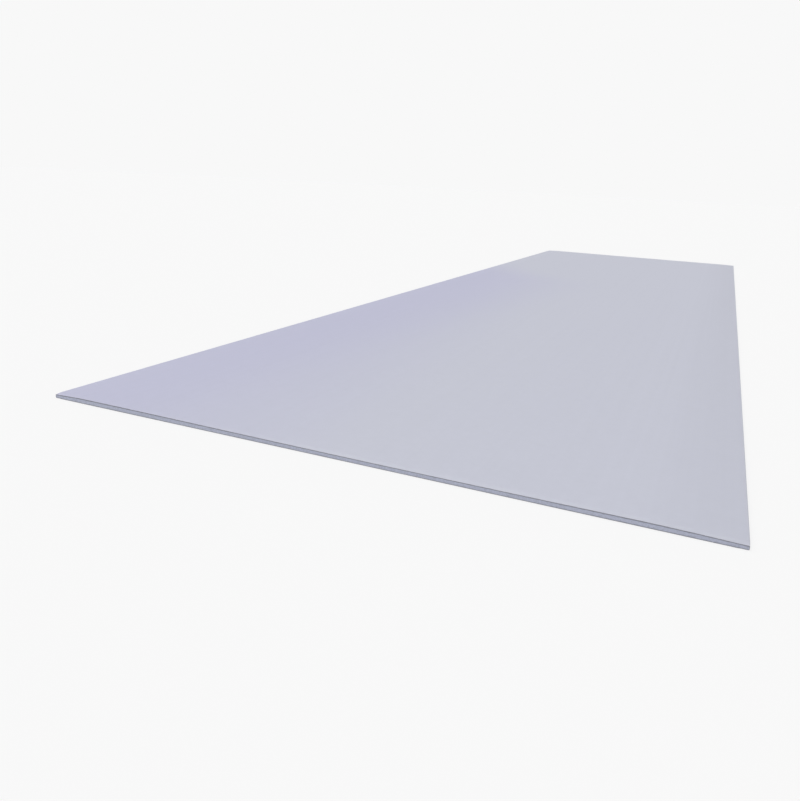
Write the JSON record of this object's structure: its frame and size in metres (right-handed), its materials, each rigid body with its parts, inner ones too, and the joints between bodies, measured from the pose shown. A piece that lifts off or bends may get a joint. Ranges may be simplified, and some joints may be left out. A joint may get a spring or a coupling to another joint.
{
  "type": "drywall sheet",
  "caption": "Flat rectangular gypsum board with a paper face, tapered wrapped long edges and square cut ends, lying face up.",
  "frame": {"origin": "on the back (underside), at the middle of the width and of the length", "axes": "+X across the width, +Y along the length, +Z out of the face, up as it lies on its back"},
  "size_m": [1.2, 4.2, 0.01],
  "materials": {
    "face_paper": "smooth matt off-white face paper with a cool cast and faint fibre, wrapped round the long edges; the back is plain grey paper and the two cut ends are bare sawn gypsum"
  },
  "bodies": {
    "root": {"board": "face_paper"}
  },
  "joints": []
}
